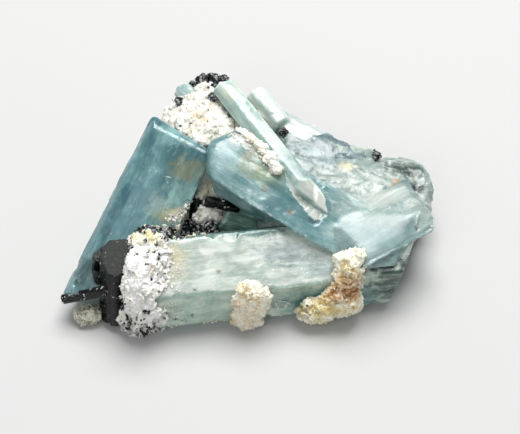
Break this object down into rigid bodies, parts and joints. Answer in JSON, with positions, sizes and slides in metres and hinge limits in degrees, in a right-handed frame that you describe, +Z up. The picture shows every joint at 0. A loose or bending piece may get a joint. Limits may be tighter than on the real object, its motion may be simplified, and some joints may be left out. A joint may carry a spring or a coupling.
{
  "type": "aquamarine crystal specimen",
  "caption": "Natural mineral specimen: intergrown blue-green aquamarine prisms with black tourmaline, set on white feldspar, resting on its flat underside.",
  "frame": {"origin": "centre of the bounding box, at the level of the flat underside that the specimen rests on", "axes": "+X along the specimen's length, from the black stub to the broken right end; +Y away from the long front crystal; +Z up"},
  "size_m": [0.0523, 0.0391, 0.0181],
  "materials": {
    "aquamarine": "cloudy translucent crystal with fine lengthwise striations",
    "schorl": "glossy black, striated along its length",
    "feldspar": "white, granular and matt",
    "stained_feldspar": "cream crust, granular, stained orange-brown with iron in places"
  },
  "bodies": {
    "root": {"aquamarine_left": "aquamarine", "aquamarine_front": "aquamarine", "aquamarine_cluster": "aquamarine", "aquamarine_bud": "aquamarine", "aquamarine_inner": "aquamarine", "schorl_stub": "schorl", "schorl_side": "schorl", "schorl_rod": "schorl", "schorl_bar": "schorl", "schorl_pocket_stub": "schorl", "schorl_pocket_cluster": "schorl", "schorl_seam_cluster": "schorl", "schorl_top_cluster": "schorl", "schorl_grain_left": "schorl", "schorl_grain_top": "schorl", "schorl_grain_middle": "schorl", "schorl_grain_blade": "schorl", "schorl_grain_back": "schorl", "feldspar_matrix": "feldspar", "feldspar_left": "feldspar", "feldspar_crest": "feldspar", "feldspar_chip": "feldspar", "crust_front": "stained_feldspar", "crust_right": "stained_feldspar"}
  },
  "joints": []
}
